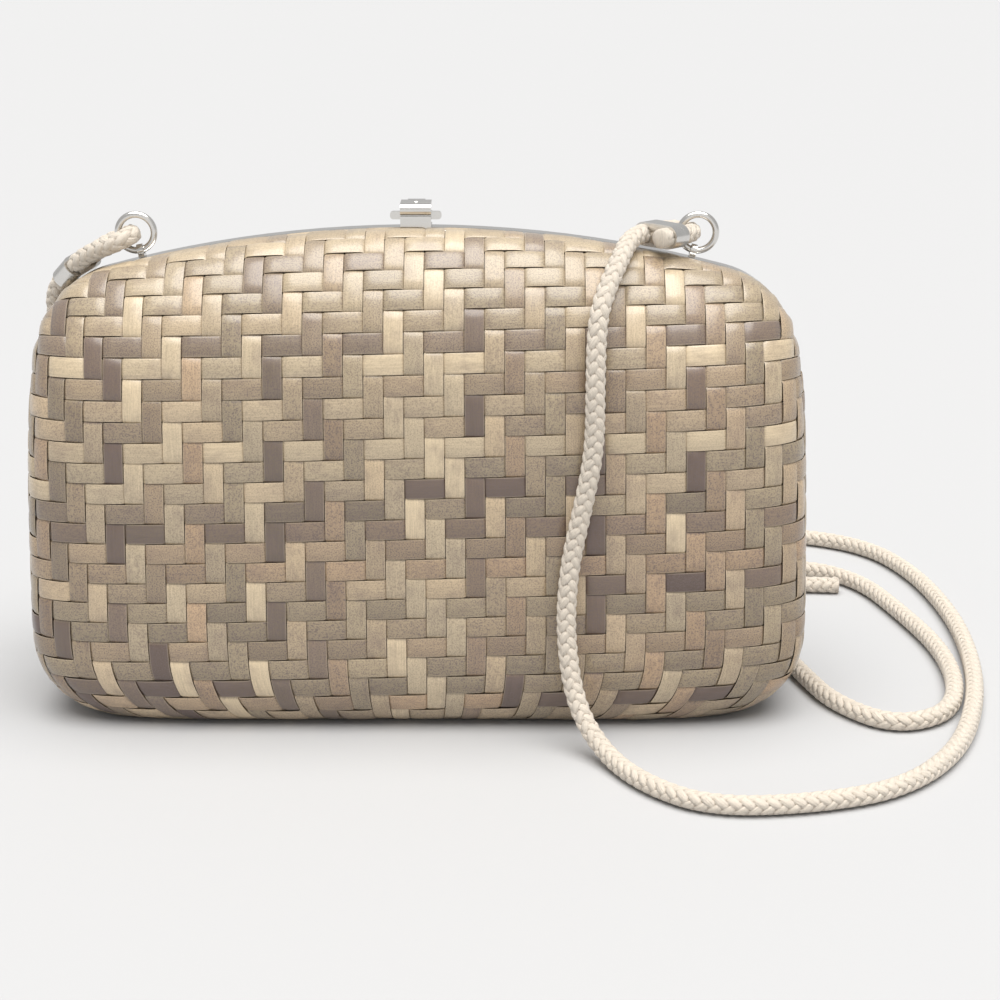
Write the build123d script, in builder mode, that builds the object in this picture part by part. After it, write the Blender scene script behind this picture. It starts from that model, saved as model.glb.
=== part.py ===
# A small woven straw bag with an arched metal frame, a clasp, two rings and a plaited cord strap.
# Millimetres, Z up, the front faces -Y, the bottom stands on z = 0.
import math
import os

from build123d import *

os.makedirs("parts", exist_ok=True)

# Woven body
bag_height = 130.8
half_width = 103.4
half_depth = 29.5
side_taper_share = 0.033
taper_start = 30.0
corner_radius = 16.0
base_round_height = 18.0
base_round_depth = 11.0
dome_height = 42.0
side_power_share = 6.0
mouth_half_gap = 2.4
side_drop = 1.695
edge_drop = 14.195
weave_inset = 1.1
weave_thickness = 2.0
strip_rise = 0.6
strip_columns = 23
strip_pitch = 11.6
row_zero = 50.0

# Lining
lining_gap = 1.2
lining_thickness = 1.0
lining_inset = 6.0
lining_side_drop = 14.695
lining_span_inset = 13.8
lining_columns = 11
lining_pitch = 16.0

# Frame
arch_radius = 320.0
shoulder_radius = 24.5
frame_inset = 3.4
frame_end_angle = 86.0
frame_end_run = 2.2
frame_gap = 0.1
web_thickness = 2.0
flange_reach = 5.0
flange_thickness = 0.8
web_depth = 5.4
flange_edge_radius = 0.3

# Hinge
rivet_drop = 6.195
rivet_radius = 1.0
rivet_head_radius = 1.8
rivet_head_thickness = 0.8
ear_radius = 3.2
ear_thickness = 1.0
ear_gap = 0.3
ear_hole_radius = 1.3
ear_lap = 3.305
ear_top_height = 3.0
ear_root_width = 2.0

# Clasp
clasp_width = 8.0
clasp_foot_reach = 4.4
clasp_foot_thickness = 0.6
clasp_lift = 0.05
catch_height = 3.4
catch_thickness = 0.8
catch_y = -4.4
pin_y = 2.7
pin_rise = 3.3
pin_radius = 0.7
pin_length = 8.2
knuckle_radius = 1.6
knuckle_hole_radius = 0.9
knuckle_width = 4.6
cheek_thickness = 0.9
cheek_gap = 0.3
cheek_width = 2.6
lever_thickness = 0.9
roll_radius = 1.5
roll_y = -4.3
roll_rise = 5.3
wing_span = 13.4
wing_height = 2.1
wing_thickness = 1.0
wing_rise = 3.65
wing_corner = 0.9
wing_y = -3.3
dome_radius = 1.3
dome_y = -1.0

# Rings
lug_inset = 27.5
lug_y = 2.55
lug_rise = 1.9
lug_thickness = 1.6
lug_radius = 1.6
lug_hole_radius = 1.15
ring_radius = 4.75
wire_radius = 0.9

# Strap
cord_radius = 2.6
floor_gap = 0.1
eye_gap = 0.15
ferrule_length = 6.2
ferrule_wall = 0.5
left_leg = 11.0
left_knee = 5.0
left_dip_angle = 11.0
left_turn_angle = -30.0
left_knee_angle = 20.0
right_leg = 5.5
right_dip_angle = 10.0
right_turn_angle = 52.0
stub_length = 3.0
knee_radius = 9.0
eye_bend_share = 0.999
lead_length = 5.5
bend_share = 0.45

# Each point of the strap and of its spare tail, as shares of half width, half depth and height.
strap_shares = [
    (0.505, -0.661, 0.938), (0.467, -0.908, 0.883), (0.448, -1.037, 0.833), (0.444, -1.142, 0.720),
    (0.445, -1.132, 0.584), (0.416, -1.132, 0.463), (0.383, -1.146, 0.342), (0.375, -1.203, 0.206),
    (0.402, -1.356, 0.070), (0.474, -1.695, 0.000), (0.561, -2.305, 0.000), (0.702, -2.746, 0.000),
    (0.938, -2.698, 0.000), (1.171, -2.407, 0.000), (1.354, -1.627, 0.000), (1.470, -0.475, 0.000),
    (1.528, 0.678, 0.000), (1.547, 1.898, 0.000), (1.513, 3.220, 0.000), (1.412, 4.237, 0.000),
    (1.180, 4.712, 0.000), (0.870, 4.814, 0.000), (0.600, 4.373, 0.000), (0.580, 3.492, 0.000),
    (0.851, 3.169, 0.000), (1.141, 3.576, 0.000), (1.324, 3.085, 0.000), (1.399, 2.034, 0.000),
    (1.456, 0.949, 0.000), (1.445, -0.068, 0.000), (1.374, -0.780, 0.000), (1.219, -1.017, 0.000),
    (1.093, -0.475, 0.000), (1.043, 0.203, 0.000), (1.011, 0.746, 0.000), (0.919, 1.220, 0.000),
    (0.716, 1.542, 0.000), (0.386, 1.695, 0.000), (0.000, 1.746, 0.000), (-0.425, 1.695, 0.000),
    (-0.735, 1.559, 0.000), (-0.880, 1.339, 0.078), (-0.914, 1.203, 0.244), (-0.929, 1.085, 0.418),
    (-0.942, 0.976, 0.561), (-0.955, 0.797, 0.674), (-0.961, 0.603, 0.761),
]
tail_shares = [
    (-0.929, 0.814, 0.776), (-0.916, 1.051, 0.674), (-0.899, 1.271, 0.508), (-0.880, 1.458, 0.312),
    (-0.851, 1.661, 0.116), (-0.716, 2.000, 0.000), (-0.349, 2.237, 0.000), (0.039, 2.407, 0.000),
    (0.425, 2.576, 0.000), (0.812, 2.763, 0.000), (1.045, 2.966, 0.000), (1.254, 2.881, 0.000),
]

# The frame's outline: one long arch, a tighter arc at each shoulder, a short straight end.
frame_half_span = half_width - frame_inset
end_turn = math.radians(frame_end_angle)
arc_gap = arch_radius - shoulder_radius
arch_turn = math.asin((frame_half_span - shoulder_radius * math.sin(end_turn)) / arc_gap)
arch_centre_z = bag_height - arch_radius
shoulder_x = arc_gap * math.sin(arch_turn)
shoulder_z = arch_centre_z + arc_gap * math.cos(arch_turn)
end_z = shoulder_z + shoulder_radius * math.cos(end_turn) - frame_end_run * math.sin(end_turn)

# Heights and spans that follow the ends of the frame.
side_top = end_z - side_drop
side_edge = end_z - edge_drop
lining_side_top = end_z - lining_side_drop
lining_span = frame_half_span - lining_span_inset
rivet_z = end_z - rivet_drop
ear_top = end_z + ear_lap
lug_x = frame_half_span - lug_inset


def arch_point(turn):
    return (arch_radius * math.sin(turn), arch_centre_z + arch_radius * math.cos(turn))


def shoulder_point(turn, side):
    x = shoulder_x + shoulder_radius * math.sin(turn)
    return (side * x, shoulder_z + shoulder_radius * math.cos(turn))


def rim_z(x, inset):
    across = abs(x)
    if across <= (arch_radius - inset) * math.sin(arch_turn):
        return arch_centre_z + math.sqrt((arch_radius - inset) ** 2 - across**2)
    if across <= shoulder_x + (shoulder_radius - inset) * math.sin(end_turn):
        return shoulder_z + math.sqrt((shoulder_radius - inset) ** 2 - (across - shoulder_x) ** 2)
    return 0.0


def width_at(z, wall):
    width = half_width - wall - side_taper_share * max(min(z, side_top) - taper_start, 0)
    low = max(corner_radius + wall - z, 0)
    return width - corner_radius + math.sqrt(max(corner_radius**2 - low**2, 0))


def upright(share, inset, wall, side_z, span):
    """Points of one upright line of the bag's wall, from the bottom to the rim."""
    across = (1 - min(abs(share), 1) ** side_power_share) ** (1 / side_power_share)
    level = width_at(side_top, wall) * share
    top = max(rim_z(level, inset), side_z) if abs(level) < span else side_z
    start = top - dome_height
    depth = half_depth - wall - mouth_half_gap
    low = wall + base_round_height
    heights = [low - base_round_height * math.cos(math.pi * k / 20) for k in range(11)]
    heights += [low + (start - low) * k / 8 for k in range(1, 9)]
    heights += [start + dome_height * math.sin(math.pi * k / 48) for k in range(1, 25)]
    points = []
    for z in heights:
        below = max(low - z, 0) / base_round_height
        above = max(z - start, 0) / dome_height
        reach = depth - base_round_depth * (1 - math.sqrt(max(1 - below**2, 0)))
        reach = reach * math.sqrt(max(1 - above**2, 0))
        points.append((width_at(z, wall) * share, -mouth_half_gap - reach * across, z))
    return points


def even_shares(count):
    """Shares of the half width that space upright lines evenly round the front."""
    fine = 1600
    power = 2 / side_power_share
    places = []
    for k in range(fine + 1):
        turn = math.pi * (1 - k / fine)
        places.append((math.copysign(abs(math.cos(turn)) ** power, math.cos(turn)), math.sin(turn) ** power))
    runs = [0.0]
    for a, b in zip(places, places[1:]):
        runs.append(runs[-1] + math.hypot((b[0] - a[0]) * half_width, (b[1] - a[1]) * half_depth))
    shares = []
    for i in range(1, count):
        k = next(k for k in range(fine) if runs[k + 1] >= runs[-1] * i / count)
        shares.append(places[k][0])
    return [-1.0] + shares + [1.0]


def wall_grid(count, pitch, inset, wall, side_z, span):
    """Columns of points round the bag: front from left to right, then back from right to left."""
    columns = []
    shares = even_shares(count)
    for side, order in ((1, shares), (-1, shares[::-1])):
        for share in order:
            line = [(x, y * side, z) for x, y, z in upright(share, inset, wall, side_z, span)]
            runs = [0.0]
            for a, b in zip(line, line[1:]):
                runs.append(runs[-1] + math.dist(a, b))
            k = next(k for k in range(len(line)) if line[k + 1][2] >= row_zero)
            part = (row_zero - line[k][2]) / (line[k + 1][2] - line[k][2])
            zero = runs[k] + (runs[k + 1] - runs[k]) * part
            first = math.ceil(0.4 - zero / pitch)
            last = math.floor((runs[-1] - zero) / pitch - 0.4)
            rows = {}
            for j in range(first, last + 1):
                run = zero + j * pitch
                k = next(k for k in range(len(line)) if runs[k + 1] >= run)
                part = (run - runs[k]) / (runs[k + 1] - runs[k])
                rows[j] = tuple(a + (b - a) * part for a, b in zip(line[k], line[k + 1]))
            columns.append({"first": first, "last": last, "rows": rows, "ends": (line[0], line[-1])})
    return columns


def grid_point(columns, i, j):
    column = columns[i % len(columns)]
    if j < column["first"]:
        return column["ends"][0]
    if j > column["last"]:
        return column["ends"][1]
    return column["rows"][j]


def grid_cells(columns):
    """Corners of each cell, by column and row, with corners that fall together left out."""
    first = min(column["first"] for column in columns) - 1
    last = max(column["last"] for column in columns) + 1
    cells = {}
    for i in range(len(columns)):
        for j in range(first, last):
            corners = []
            for a, b in ((i, j), (i + 1, j), (i + 1, j + 1), (i, j + 1)):
                point = grid_point(columns, a, b)
                if point not in corners:
                    corners.append(point)
            if len(corners) > 2:
                cells[i, j] = corners
    return cells


def facets(corners):
    """Flat triangles over three or four corners."""
    if len(corners) == 3:
        return [corners]
    a, b, c, d = corners
    if math.dist(a, c) <= math.dist(b, d):
        return [[a, b, c], [a, c, d]]
    return [[b, c, d], [b, d, a]]


def raised_cells(columns, cells):
    """Cells where a level strip lies over two upright ones, in a two by two twill."""
    count = len(columns)
    raised = set()
    for (i, j), corners in cells.items():
        inside = all(
            columns[a % count]["first"] <= b <= columns[a % count]["last"]
            for a, b in ((i, j), (i + 1, j), (i + 1, j + 1), (i, j + 1))
        )
        if inside and (i + j) % 4 < 2:
            raised.add((i, j))
    crossing = True
    while crossing:
        crossing = False
        for i, j in cells:
            block = [(i, j), ((i + 1) % count, j), (i, j + 1), ((i + 1) % count, j + 1)]
            up = [cell in raised for cell in block]
            if up in ([True, False, False, True], [False, True, True, False]):
                raised.discard(block[0])
                raised.discard(block[1])
                crossing = True
    return raised


def lifted_points(cells, rise):
    """Each corner moved out along the mean direction of the facets round it."""
    sums = {}
    for corners in cells.values():
        for a, b, c in facets(corners):
            way = (Vector(b) - Vector(a)).cross(Vector(c) - Vector(a))
            for point in (a, b, c):
                sums[point] = sums.get(point, Vector(0, 0, 0)) + way
    return {point: tuple(Vector(point) + way.normalized() * rise) for point, way in sums.items()}


def wall_faces(outer, inner, rise):
    """Faces of a hollow body between two grids, with the twill raised on the outer one."""
    cells = grid_cells(outer)
    raised = raised_cells(outer, cells) if rise > 0 else set()
    lifted = lifted_points(cells, rise)
    flat = []
    for (i, j), corners in cells.items():
        if (i, j) not in raised:
            flat += facets(corners)
            continue
        flat += facets([lifted[point] for point in corners])
        beside = [(i, j - 1), ((i + 1) % len(outer), j), (i, j + 1), ((i - 1) % len(outer), j)]
        for a, b, cell in zip(corners, corners[1:] + corners[:1], beside):
            if cell not in raised:
                flat += facets([a, b, lifted[b], lifted[a]])
    for corners in grid_cells(inner).values():
        flat += facets(corners[::-1])
    outer_half = len(outer) // 2
    inner_half = len(inner) // 2
    tops = [column["ends"][1] for column in outer]
    inner_tops = [column["ends"][1] for column in inner]
    flat.append(tops[:outer_half] + inner_tops[:inner_half][::-1])
    flat.append(tops[outer_half:] + inner_tops[inner_half:][::-1])
    flat.append([tops[outer_half - 1], tops[outer_half], inner_tops[inner_half], inner_tops[inner_half - 1]])
    flat.append([tops[-1], tops[0], inner_tops[0], inner_tops[-1]])
    flat.append([column["ends"][0] for column in outer])
    flat.append([column["ends"][0] for column in inner])
    return [Face(Wire.make_polygon(corners)) for corners in flat]


def keep(piece, name):
    piece.part.label = name
    export_step(piece.part, f"parts/{name}.step")


# The mat: one continuous woven wall, open at the mouth.
with BuildPart() as woven_body:
    mat_outside = wall_grid(strip_columns, strip_pitch, weave_inset, 0, side_edge, half_width)
    inner_inset = weave_inset + weave_thickness
    inner_top = side_edge - weave_thickness
    mat_inside = wall_grid(strip_columns, strip_pitch, inner_inset, weave_thickness, inner_top, half_width)
    add(Solid(Shell(wall_faces(mat_outside, mat_inside, strip_rise))))
keep(woven_body, "woven_body")

# The lining: a plain cloth wall inside the mat, its edge under the frame.
with BuildPart() as lining:
    cloth_outside = weave_thickness + lining_gap
    cloth_inside = cloth_outside + lining_thickness
    edge_inset = lining_inset + lining_thickness
    edge_top = lining_side_top - lining_thickness
    edge_span = lining_span - lining_thickness
    lining_outside = wall_grid(
        lining_columns, lining_pitch, lining_inset, cloth_outside, lining_side_top, lining_span
    )
    lining_inside = wall_grid(lining_columns, lining_pitch, edge_inset, cloth_inside, edge_top, edge_span)
    add(Solid(Shell(wall_faces(lining_outside, lining_inside, 0))))
keep(lining, "lining")

# Frame halves: a bar bent along the outline, with a hinge ear at each end.
left_foot = shoulder_point(end_turn, -1)
right_foot = shoulder_point(end_turn, 1)
end_step_x = frame_end_run * math.cos(end_turn)
end_step_z = frame_end_run * math.sin(end_turn)
left_end = (left_foot[0] - end_step_x, left_foot[1] - end_step_z)
right_end = (right_foot[0] + end_step_x, right_foot[1] - end_step_z)
mid_turn = (end_turn + arch_turn) / 2
ear_x = frame_half_span - web_depth


def bend_bar(side):
    """Sweep one bent bar: an upright web with a flange over the mat's edge, front -1, back 1."""
    with BuildLine(Plane.XZ) as outline:
        Line(left_end, left_foot)
        ThreePointArc(left_foot, shoulder_point(mid_turn, -1), shoulder_point(arch_turn, -1))
        ThreePointArc(arch_point(-arch_turn), arch_point(0), arch_point(arch_turn))
        ThreePointArc(shoulder_point(arch_turn, 1), shoulder_point(mid_turn, 1), right_foot)
        Line(right_foot, right_end)
    start = Plane(
        origin=(left_end[0], 0, left_end[1]),
        x_dir=(0, 1, 0),
        z_dir=(end_step_x, 0, end_step_z),
    )
    near = side * frame_gap
    web = side * (frame_gap + web_thickness)
    far = side * flange_reach
    with BuildSketch(start) as section:
        with BuildLine():
            Polyline(
                (near, 0),
                (far, 0),
                (far, -flange_thickness),
                (web, -flange_thickness),
                (web, -web_depth),
                (near, -web_depth),
                close=True,
            )
        make_face()
        fillet(section.vertices().group_by(Axis.X)[-1 if side > 0 else 0], flange_edge_radius)
    sweep(section.sketch, path=outline.wires()[0])


def add_ear(x, side):
    """One hinge ear: a round eye below the end of the bar's web."""
    with BuildSketch(Plane.YZ.offset(x)) as ear:
        with Locations((0, rivet_z)):
            Circle(ear_radius)
        with Locations((side * (frame_gap + ear_root_width / 2), (ear_top + rivet_z) / 2)):
            Rectangle(ear_root_width, ear_top - rivet_z)
        with Locations((0, rivet_z)):
            Circle(ear_hole_radius, mode=Mode.SUBTRACT)
    extrude(ear.sketch, amount=ear_thickness)


with BuildPart() as front_frame:
    bend_bar(-1)
    for left_face in (ear_x, -ear_x - ear_thickness):
        add_ear(left_face, -1)
keep(front_frame, "front_frame")

back_ear_x = ear_x - ear_gap - ear_thickness
bridge_width = ear_gap + ear_thickness + ear_thickness
bridge_z = ear_top - ear_top_height / 2
with BuildPart() as back_frame:
    bend_bar(1)
    for left_face in (back_ear_x, -back_ear_x - ear_thickness):
        add_ear(left_face, 1)
    for end in (-1, 1):
        with Locations((end * (back_ear_x + bridge_width / 2), frame_gap + ear_root_width / 2, bridge_z)):
            Box(bridge_width, ear_root_width, ear_top_height)
keep(back_frame, "back_frame")

# Rivets: one pin with two heads at each end of the frame.
rivet_inner = back_ear_x
rivet_outer = ear_x + ear_thickness + ear_gap
for end, name in ((-1, "hinge_rivet_left"), (1, "hinge_rivet_right")):
    with BuildPart() as rivet:
        for x, radius, length in (
            (rivet_inner, rivet_radius, rivet_outer - rivet_inner),
            (rivet_inner - rivet_head_thickness, rivet_head_radius, rivet_head_thickness),
            (rivet_outer, rivet_head_radius, rivet_head_thickness),
        ):
            with BuildSketch(Plane.YZ.offset(end * x)):
                with Locations((0, rivet_z)):
                    Circle(radius)
            extrude(amount=end * length)
    keep(rivet, name)

# Clasp: a catch on the front half, a hinged lever on a base on the back half.
foot_z = bag_height + clasp_lift
foot_y = frame_gap + clasp_foot_reach / 2
pin_z = bag_height + pin_rise
with BuildPart() as clasp_catch:
    with Locations((0, -foot_y, foot_z + clasp_foot_thickness / 2)):
        Box(clasp_width, clasp_foot_reach, clasp_foot_thickness)
    with Locations((0, catch_y, foot_z + catch_height / 2)):
        Box(clasp_width, catch_thickness, catch_height)
keep(clasp_catch, "clasp_catch")

cheek_x = knuckle_width / 2 + cheek_gap
with BuildPart() as clasp_base:
    with Locations((0, foot_y, foot_z + clasp_foot_thickness / 2)):
        Box(clasp_width, clasp_foot_reach, clasp_foot_thickness)
    for left_face in (cheek_x, -cheek_x - cheek_thickness):
        with BuildSketch(Plane.YZ.offset(left_face)):
            with Locations((pin_y, pin_z)):
                Circle(cheek_width / 2)
            with Locations((pin_y, foot_z + clasp_foot_thickness / 2)):
                Rectangle(cheek_width, clasp_foot_thickness)
            make_hull()
            with Locations((pin_y, pin_z)):
                Circle(pin_radius, mode=Mode.SUBTRACT)
        extrude(amount=cheek_thickness)
keep(clasp_base, "clasp_base")

with BuildPart() as clasp_pin:
    with BuildSketch(Plane.YZ.offset(-pin_length / 2)):
        with Locations((pin_y, pin_z)):
            Circle(pin_radius)
    extrude(amount=pin_length)
keep(clasp_pin, "clasp_pin")

top_z = bag_height + roll_rise + roll_radius
arm_z = top_z - lever_thickness
with BuildPart() as clasp_lever:
    with BuildSketch(Plane.YZ.offset(-knuckle_width / 2)):
        with Locations((pin_y, pin_z)):
            Circle(knuckle_radius)
        with BuildLine():
            Polyline(
                (pin_y + knuckle_radius, pin_z),
                (pin_y + knuckle_radius, top_z),
                (pin_y - knuckle_radius, top_z),
                (pin_y - knuckle_radius, pin_z),
                close=True,
            )
        make_face()
        with Locations((pin_y, pin_z)):
            Circle(knuckle_hole_radius, mode=Mode.SUBTRACT)
    extrude(amount=knuckle_width)
    with Locations((0, (roll_y + pin_y) / 2, top_z - lever_thickness / 2)):
        Box(clasp_width, pin_y - roll_y, lever_thickness)
    with BuildSketch(Plane.YZ.offset(-clasp_width / 2)):
        with Locations((roll_y, bag_height + roll_rise)):
            Circle(roll_radius)
    extrude(amount=clasp_width)
    with BuildSketch(Plane.XZ.offset(-wing_y - wing_thickness / 2)):
        with Locations((0, bag_height + wing_rise)):
            RectangleRounded(wing_span, wing_height, wing_corner)
    extrude(amount=wing_thickness)
    with Locations((0, dome_y, arm_z)):
        Sphere(dome_radius)
keep(clasp_lever, "clasp_lever")

# Rings, their lugs, the cord eyes and the ferrules.
lug_turn = math.asin(lug_x / arch_radius)
lug_z = arch_point(lug_turn)[1]
eye_radius = cord_radius + wire_radius + eye_gap
cord_ends = {}
for side, word, leg, knee, dip, turn, knee_angle in (
    (-1, "left", left_leg, left_knee, left_dip_angle, left_turn_angle, left_knee_angle),
    (1, "right", right_leg, 0, right_dip_angle, right_turn_angle, 0),
):
    along = Vector(math.cos(lug_turn), 0, -side * math.sin(lug_turn))
    out = Vector(side * math.sin(lug_turn), 0, math.cos(lug_turn))
    back = Vector(0, 1, 0)
    foot = Vector(side * lug_x, lug_y, lug_z)
    hole = foot + out * lug_rise
    centre = hole + out * ring_radius
    with BuildPart() as lug:
        with BuildSketch(Plane(origin=hole - along * (lug_thickness / 2), x_dir=back, z_dir=along)):
            Circle(lug_radius)
            Circle(lug_hole_radius, mode=Mode.SUBTRACT)
        extrude(amount=lug_thickness)
        with BuildSketch(Plane(origin=foot + out * clasp_lift, x_dir=along, z_dir=out)):
            Rectangle(lug_thickness, lug_radius + lug_radius)
        extrude(amount=lug_rise - lug_hole_radius - clasp_lift)
    keep(lug, f"ring_lug_{word}")
    with BuildPart() as ring:
        with BuildLine(Plane(origin=centre, x_dir=along, z_dir=back)) as hoop:
            CenterArc((0, 0), ring_radius, 0, 360)
        with BuildSketch(Plane(origin=centre + along * ring_radius, x_dir=along, z_dir=out)):
            Circle(wire_radius)
        sweep(path=hoop.wires()[0])
    keep(ring, f"ring_{word}")
    dip_turn = math.radians(dip)
    side_turn = math.radians(turn)
    fall = along * -math.cos(dip_turn) - out * math.sin(dip_turn)
    wire = centre + fall * ring_radius
    way = fall * math.cos(side_turn) - back * math.sin(side_turn)
    across = fall * math.sin(side_turn) + back * math.cos(side_turn)
    bend = wire + way * leg
    knee_turn = math.radians(knee_angle)
    exit_way = way * math.cos(knee_turn) - across.cross(way) * math.sin(knee_turn)
    near = bend + exit_way * knee
    far = near + exit_way * ferrule_length
    with BuildPart() as ferrule:
        with BuildSketch(Plane(origin=near, x_dir=across, z_dir=exit_way)):
            SlotCenterToCenter(eye_radius + eye_radius, (cord_radius + ferrule_wall) * 2)
        extrude(amount=ferrule_length)
    keep(ferrule, f"ferrule_{word}")
    with BuildPart() as eye:
        turned = wire - way * eye_radius
        middle = [near, bend, turned] if knee > 0 else [near, turned]
        out_leg = [point + across * eye_radius for point in middle]
        home_leg = [point - across * eye_radius for point in middle[::-1]]
        turns = [eye_radius * eye_bend_share] * 2
        if knee > 0:
            turns = [knee_radius] + turns + [knee_radius]
        with BuildLine() as bight:
            FilletPolyline(*out_leg, *home_leg, radius=turns)
        with BuildSketch(Plane(origin=out_leg[0], x_dir=across, z_dir=-exit_way)):
            Circle(cord_radius)
        sweep(path=bight.wires()[0])
        if side > 0:
            with BuildSketch(Plane(origin=far - across * eye_radius, x_dir=across, z_dir=exit_way)):
                Circle(cord_radius)
            extrude(amount=stub_length)
    keep(eye, f"strap_loop_{word}")
    cord_ends[word] = (far, exit_way, across)


# Strap and spare tail: straight runs joined by arcs that touch them.
def cord_points(shares):
    low = cord_radius + floor_gap
    return [Vector(x * half_width, y * half_depth, low + z * bag_height) for x, y, z in shares]


def cord_radii(points):
    radii = []
    for a, b, c in zip(points, points[1:], points[2:]):
        turn = math.radians((b - a).get_angle(c - b))
        radii.append(bend_share * min((b - a).length, (c - b).length) / math.tan(turn / 2))
    return radii


def lay_cord(points, name):
    radii = cord_radii(points)
    print(name, "radii", [round(radius, 1) for radius in radii])
    with BuildPart() as cord:
        with BuildLine() as route:
            FilletPolyline(*points, radius=radii)
        with BuildSketch(Plane(origin=points[0], z_dir=points[1] - points[0])):
            Circle(cord_radius)
        sweep(path=route.wires()[0])
    length = route.wires()[0].length
    tube = math.pi * cord_radius**2 * length
    print(name, "length", round(length, 1), "volume", round(cord.part.volume / tube, 4), "of its section")
    keep(cord, name)


right_far, right_way, right_across = cord_ends["right"]
left_far, left_way, left_across = cord_ends["left"]
strap_start = right_far + right_across * eye_radius
strap_end = left_far - left_across * eye_radius
strap_line = [strap_start, strap_start + right_way * lead_length]
strap_line += cord_points(strap_shares)
strap_line += [strap_end + left_way * lead_length, strap_end]
lay_cord(strap_line, "strap_cord")

tail_start = left_far + left_across * eye_radius
tail_line = [tail_start, tail_start + left_way * lead_length]
tail_line += cord_points(tail_shares)
lay_cord(tail_line, "strap_tail")
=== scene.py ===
# %% [markdown]
# # A woven straw bag on a hinged metal frame
# The bag is a flexible straw mat that hangs from a metal frame in two halves. A plaited cotton
# cord is the strap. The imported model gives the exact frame, clasp and rings, and this lesson
# dresses it: real strips woven over and under, a plaited cord, a lining and the finishes.

import math

import bpy
import numpy as np
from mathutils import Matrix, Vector


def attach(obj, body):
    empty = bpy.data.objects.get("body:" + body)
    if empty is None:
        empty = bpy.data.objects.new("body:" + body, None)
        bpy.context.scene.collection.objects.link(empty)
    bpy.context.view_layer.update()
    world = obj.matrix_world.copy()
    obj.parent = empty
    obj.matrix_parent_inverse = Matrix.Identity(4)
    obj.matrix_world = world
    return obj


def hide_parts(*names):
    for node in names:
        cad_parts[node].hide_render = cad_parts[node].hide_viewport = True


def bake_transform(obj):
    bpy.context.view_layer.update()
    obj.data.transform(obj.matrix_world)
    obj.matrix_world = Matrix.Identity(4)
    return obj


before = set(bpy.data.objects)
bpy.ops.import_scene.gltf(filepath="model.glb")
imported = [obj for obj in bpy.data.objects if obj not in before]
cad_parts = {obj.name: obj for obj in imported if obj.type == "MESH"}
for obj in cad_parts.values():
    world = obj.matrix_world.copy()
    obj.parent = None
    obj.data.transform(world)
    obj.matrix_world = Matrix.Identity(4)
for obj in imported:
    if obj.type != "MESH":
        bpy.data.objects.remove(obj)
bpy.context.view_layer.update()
bpy.ops.object.select_all(action="DESELECT")
MM = 0.001
scene = bpy.context.scene
scene.view_settings.view_transform = "Standard"

# %% [markdown]
# ## Camera
# The camera stands a little right of the bag's middle and looks down on it with a long lens,
# so the frame's arch, the front and a strip of floor are all in view. It is placed by numbers and
# not aimed at a piece, so the picture stays the same when a piece is changed.

# %% Camera
CAMERA_PLACE = (0.0219, -0.548, 0.2185)
CAMERA_PITCH = 73.5
CAMERA_LENS = 75.6
SENSOR_WIDTH = 36.0
bpy.ops.object.camera_add(location=CAMERA_PLACE, rotation=(math.radians(CAMERA_PITCH), 0, 0))
camera = bpy.context.object
camera.data.lens = CAMERA_LENS
camera.data.sensor_width = SENSOR_WIDTH
scene.camera = camera
print("camera at", CAMERA_PLACE, "lens", CAMERA_LENS)

# %% [markdown]
# ## Cord routes
# A cord lies on one smooth line. The points below are the same route that the solid cord has,
# and a quadratic NURBS spline through their hull gives a line with no kinks. The plait is laid
# on points read off that spline.

# %% Routes of the strap, its tail and its two eyes, in millimetres
STRAP_ROUTE = [
    (59.2, -4.4, 129.8), (55.8, -8.8, 129.9), (52.2, -19.5, 125.4), (48.3, -26.8, 118.2),
    (46.3, -30.6, 111.7), (45.9, -33.7, 96.9), (46.0, -33.4, 79.1), (43.0, -33.4, 63.3),
    (39.6, -33.8, 47.4), (38.8, -35.5, 29.6), (41.6, -40.0, 11.9), (49.0, -50.0, 2.7),
    (58.0, -68.0, 2.7), (72.6, -81.0, 2.7), (97.0, -79.6, 2.7), (121.1, -71.0, 2.7),
    (140.0, -48.0, 2.7), (152.0, -14.0, 2.7), (158.0, 20.0, 2.7), (160.0, 56.0, 2.7),
    (156.4, 95.0, 2.7), (146.0, 125.0, 2.7), (122.0, 139.0, 2.7), (90.0, 142.0, 2.7),
    (62.0, 129.0, 2.7), (60.0, 103.0, 2.7), (88.0, 93.5, 2.7), (118.0, 105.5, 2.7),
    (136.9, 91.0, 2.7), (144.7, 60.0, 2.7), (150.6, 28.0, 2.7), (149.4, -2.0, 2.7),
    (142.1, -23.0, 2.7), (126.0, -30.0, 2.7), (113.0, -14.0, 2.7), (107.8, 6.0, 2.7),
    (104.5, 22.0, 2.7), (95.0, 36.0, 2.7), (74.0, 45.5, 2.7), (39.9, 50.0, 2.7),
    (0.0, 51.5, 2.7), (-43.9, 50.0, 2.7), (-76.0, 46.0, 2.7), (-91.0, 39.5, 12.9),
    (-94.5, 35.5, 34.6), (-96.1, 32.0, 57.4), (-97.4, 28.8, 76.1), (-98.7, 23.5, 90.9),
    (-99.4, 17.8, 102.2), (-98.8, 12.7, 111.6), (-95.5, 10.2, 115.2),
]
TAIL_ROUTE = [
    (-92.1, 16.5, 116.7), (-95.4, 19.1, 113.1), (-96.1, 24.0, 104.2), (-94.7, 31.0, 90.9),
    (-93.0, 37.5, 69.1), (-91.0, 43.0, 43.5), (-88.0, 49.0, 17.9), (-74.0, 59.0, 2.7),
    (-36.1, 66.0, 2.7), (4.0, 71.0, 2.7), (43.9, 76.0, 2.7), (84.0, 81.5, 2.7),
    (108.1, 87.5, 2.7), (129.7, 85.0, 2.7),
]
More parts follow.
